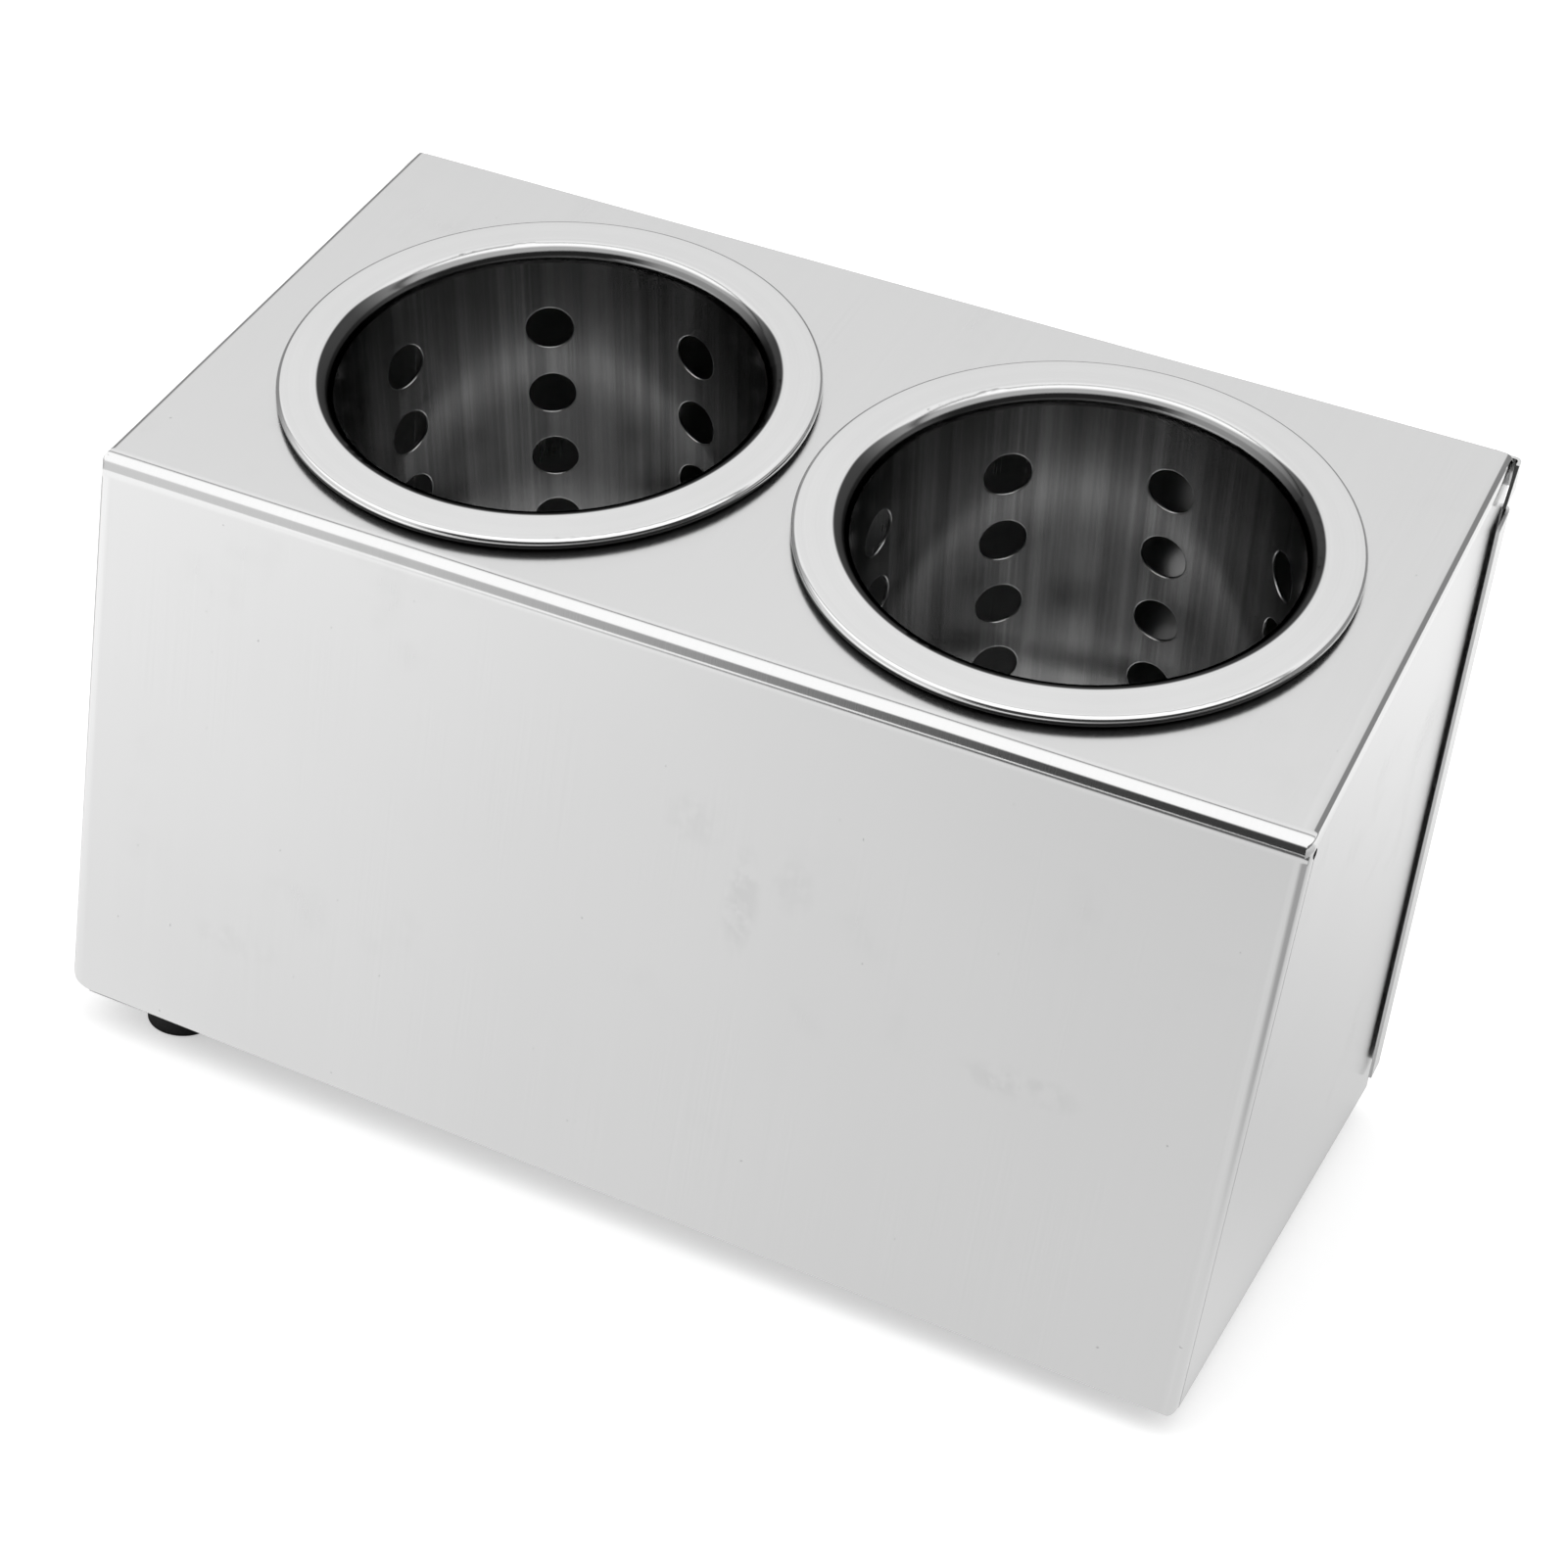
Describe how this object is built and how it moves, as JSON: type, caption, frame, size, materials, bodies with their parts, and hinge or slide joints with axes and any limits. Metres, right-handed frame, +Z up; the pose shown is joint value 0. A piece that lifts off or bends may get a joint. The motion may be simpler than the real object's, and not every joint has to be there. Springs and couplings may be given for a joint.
{
  "type": "utensil holder",
  "caption": "Stainless countertop utensil holder: sloping sheet-metal housing on rubber feet with perforated lift-out cylinders.",
  "frame": {"origin": "on the resting surface under the middle of the holder", "axes": "+X to the holder's right seen from its low front, +Y to its back, +Z up"},
  "size_m": [0.2834, 0.162, 0.1876],
  "materials": {
    "stainless_sheet": "fine brushed",
    "stainless_cylinder": "satin",
    "black_rubber": "matte",
    "fastener_steel": "plain"
  },
  "bodies": {
    "housing": {"housing_shell": "stainless_sheet", "back_panel": "stainless_sheet", "bottom_tray": "stainless_sheet", "foot_front_left": "black_rubber", "foot_front_right": "black_rubber", "foot_rear_left": "black_rubber", "foot_rear_right": "black_rubber", "foot_screws": "fastener_steel", "foot_washers": "fastener_steel", "foot_nuts": "fastener_steel"},
    "left_cylinder": {"cylinder_left": "stainless_cylinder"},
    "right_cylinder": {"cylinder_right": "stainless_cylinder"}
  },
  "joints": [
    {"name": "left_cylinder_lift", "type": "slide", "parent": "housing", "child": "left_cylinder", "axis": [0, -0.309, 0.9511], "range_m": [0, 0.105]},
    {"name": "right_cylinder_lift", "type": "slide", "parent": "housing", "child": "right_cylinder", "axis": [0, -0.309, 0.9511], "range_m": [0, 0.105]}
  ]
}
